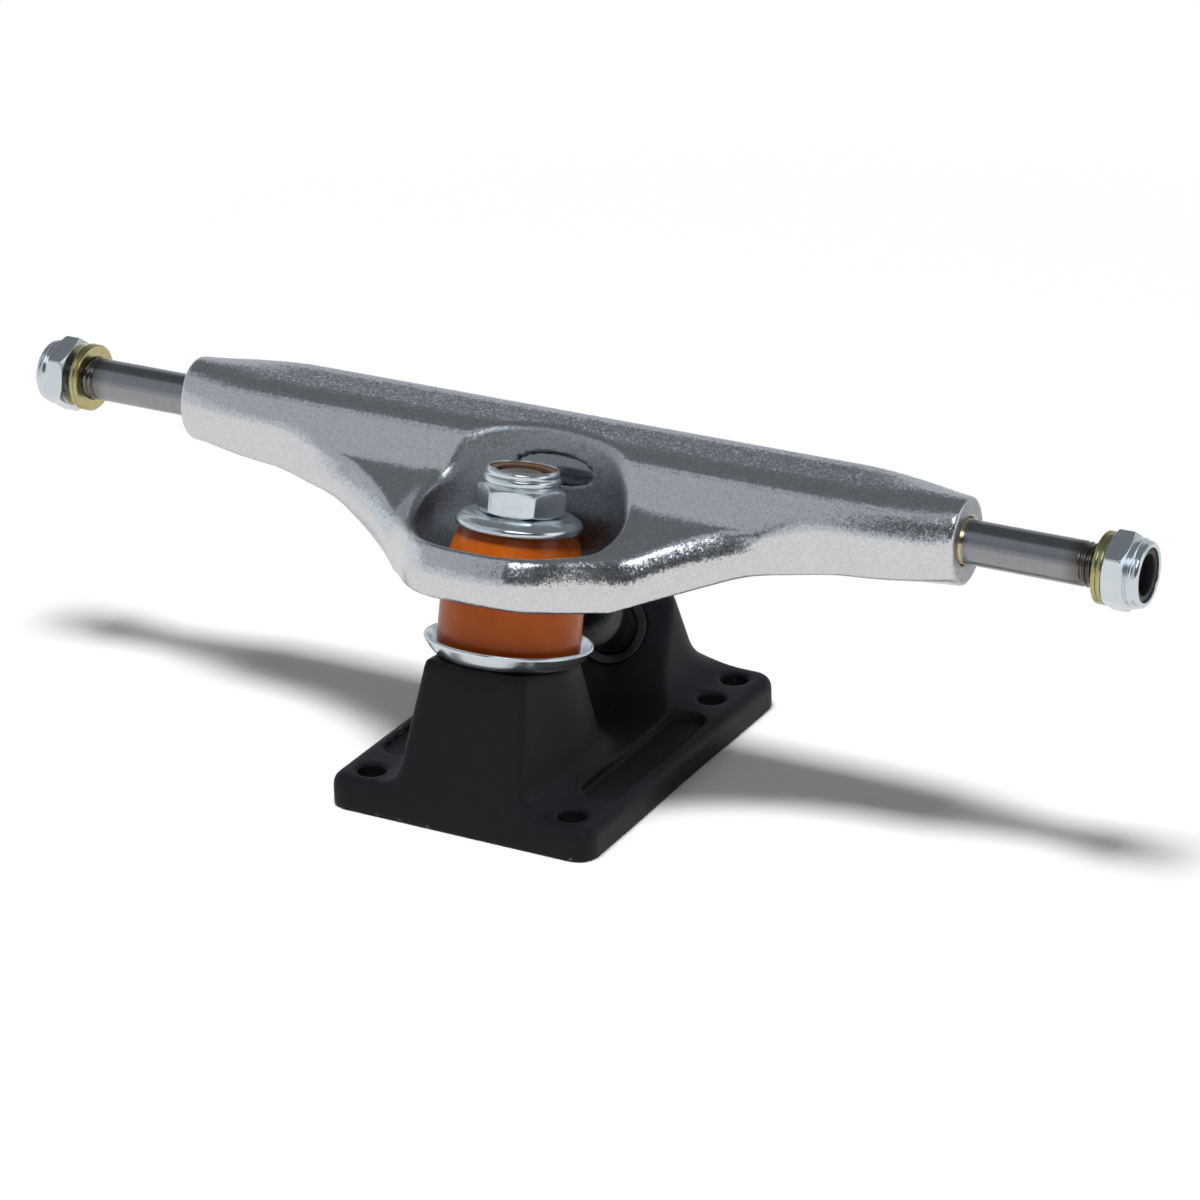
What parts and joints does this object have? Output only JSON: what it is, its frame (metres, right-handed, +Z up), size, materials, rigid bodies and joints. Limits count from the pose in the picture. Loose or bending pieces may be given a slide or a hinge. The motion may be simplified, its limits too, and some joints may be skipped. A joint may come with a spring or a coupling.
{
  "type": "skateboard truck",
  "caption": "Steering skateboard truck: black cast baseplate, bushings on a kingpin, a cast aluminium hanger that pivots in the plate, and a threaded wheel axle with lock nuts.",
  "frame": {"origin": "centre of the inner four-bolt pattern on the underside of the baseplate", "axes": "+X along the axle to the right, +Y from the kingpin towards the pivot, +Z up from the mounting face"},
  "size_m": [0.2262, 0.0762, 0.0635],
  "materials": {
    "black_casting": "satin black paint over cast aluminium, bright where the edges are worn",
    "pivot_cup_plastic": "black moulded plastic",
    "kingpin_steel": "oiled steel",
    "bright_zinc": "bright zinc plate with a blue tint",
    "kingpin_nylon": "nylon ring",
    "bottom_urethane": "translucent burnt orange urethane",
    "top_urethane": "translucent orange urethane",
    "tumbled_aluminium": "tumbled and polished casting",
    "axle_steel": "ground steel",
    "axle_nylon": "dark nylon ring",
    "yellow_zinc": "yellow zinc plate"
  },
  "bodies": {
    "base": {"baseplate": "black_casting", "pivot_cup": "pivot_cup_plastic", "kingpin": "kingpin_steel", "kingpin_nut": "bright_zinc", "kingpin_nut_insert": "kingpin_nylon", "bottom_cup_washer": "bright_zinc", "bottom_bushing": "bottom_urethane", "top_bushing": "top_urethane", "top_cup_washer": "bright_zinc"},
    "hanger": {"hanger": "tumbled_aluminium", "axle": "axle_steel"},
    "nut_left": {"axle_nut_left": "bright_zinc", "axle_nut_insert_left": "axle_nylon"},
    "nut_right": {"axle_nut_right": "bright_zinc", "axle_nut_insert_right": "axle_nylon"},
    "washers_left": {"inner_washer_left": "yellow_zinc", "outer_washer_left": "yellow_zinc"},
    "washers_right": {"inner_washer_right": "yellow_zinc", "outer_washer_right": "yellow_zinc"}
  },
  "joints": [
    {"name": "hanger_steer", "type": "hinge", "parent": "base", "child": "hanger", "pos_m": [0, 0.0267, 0.0164], "axis": [0, -0.8086, 0.5883], "range_deg": [-20, 20], "stiffness_Nm_per_rad": 14, "deforming": ["bottom_bushing", "top_bushing"]},
    {"name": "axle_nut_left_unscrew", "type": "slide", "parent": "hanger", "child": "nut_left", "axis": [-1, 0, 0], "range_m": [0, 0.03]},
    {"name": "axle_nut_right_unscrew", "type": "slide", "parent": "hanger", "child": "nut_right", "axis": [1, 0, 0], "range_m": [0, 0.03]},
    {"name": "washers_left_slide", "type": "slide", "parent": "nut_left", "child": "washers_left", "axis": [1, 0, 0], "range_m": [-0.0015, 0.0233]},
    {"name": "washers_right_slide", "type": "slide", "parent": "nut_right", "child": "washers_right", "axis": [-1, 0, 0], "range_m": [0, 0.0249]}
  ]
}
